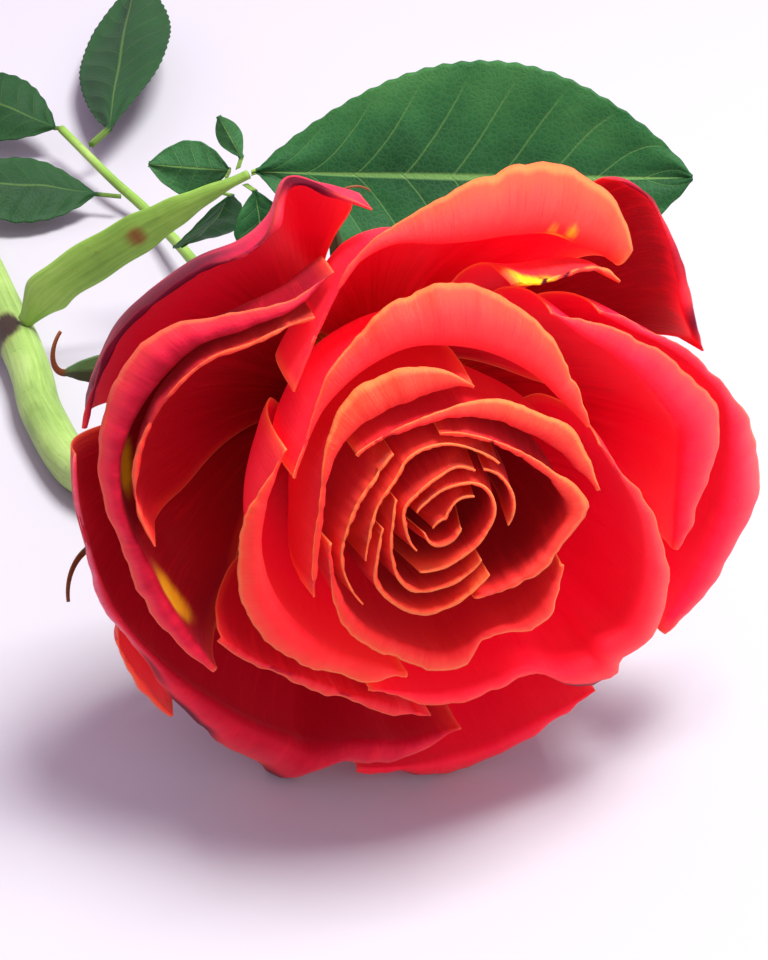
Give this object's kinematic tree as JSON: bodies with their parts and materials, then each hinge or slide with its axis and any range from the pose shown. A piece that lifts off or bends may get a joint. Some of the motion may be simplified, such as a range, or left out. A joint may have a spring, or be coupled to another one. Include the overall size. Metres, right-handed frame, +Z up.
{
  "type": "cut rose",
  "caption": "Open garden rose bloom on a cut stem, with hip, sepals and compound leaves, lying on its side on a flat surface.",
  "frame": {"origin": "middle of the footprint, on the surface the rose lies on", "axes": "+Z up, the bloom looks toward -Y and a little toward +X and up, the stem runs back toward +Y"},
  "size_m": [0.1818, 0.2734, 0.0798],
  "materials": {
    "petal_bud": "matte",
    "petal_heart": "matte",
    "petal_outer": "matte",
    "hip": "satin",
    "sepal": "matte",
    "stem": "satin",
    "leaf_stalk": "satin",
    "leaf": "satin"
  },
  "bodies": {
    "root": {"petal_bud_1": "petal_bud", "petal_bud_2": "petal_bud", "petal_bud_3": "petal_bud", "petal_bud_4": "petal_bud", "petal_bud_5": "petal_bud", "petal_bud_6": "petal_bud", "petal_ring_1": "petal_bud", "petal_ring_2": "petal_bud", "petal_ring_3": "petal_bud", "petal_ring_4": "petal_bud", "petal_heart_1": "petal_heart", "petal_heart_2": "petal_heart", "petal_heart_3": "petal_heart", "petal_mid_1": "petal_heart", "petal_mid_2": "petal_heart", "petal_mid_3": "petal_heart", "petal_mid_4": "petal_heart", "petal_cup_1": "petal_outer", "petal_cup_2": "petal_outer", "petal_top_1": "petal_outer", "petal_top_2": "petal_outer", "petal_right_1": "petal_outer", "petal_right_2": "petal_outer", "petal_outer_1": "petal_outer", "petal_outer_2": "petal_outer", "petal_outer_3": "petal_outer", "petal_outer_4": "petal_outer", "petal_outer_5": "petal_outer", "hip": "hip", "sepal_1": "sepal", "sepal_2": "sepal", "sepal_3": "sepal", "sepal_4": "sepal", "sepal_5": "sepal", "stem": "stem", "leaf_1_stalk": "leaf_stalk", "leaf_2_stalk": "leaf_stalk", "leaf_1_end": "leaf", "leaf_1_small": "leaf", "leaf_1_left": "leaf", "leaf_1_low": "leaf", "leaf_1_back": "leaf", "leaf_2_end": "leaf", "leaf_2_right": "leaf", "leaf_2_left": "leaf"}
  },
  "joints": []
}
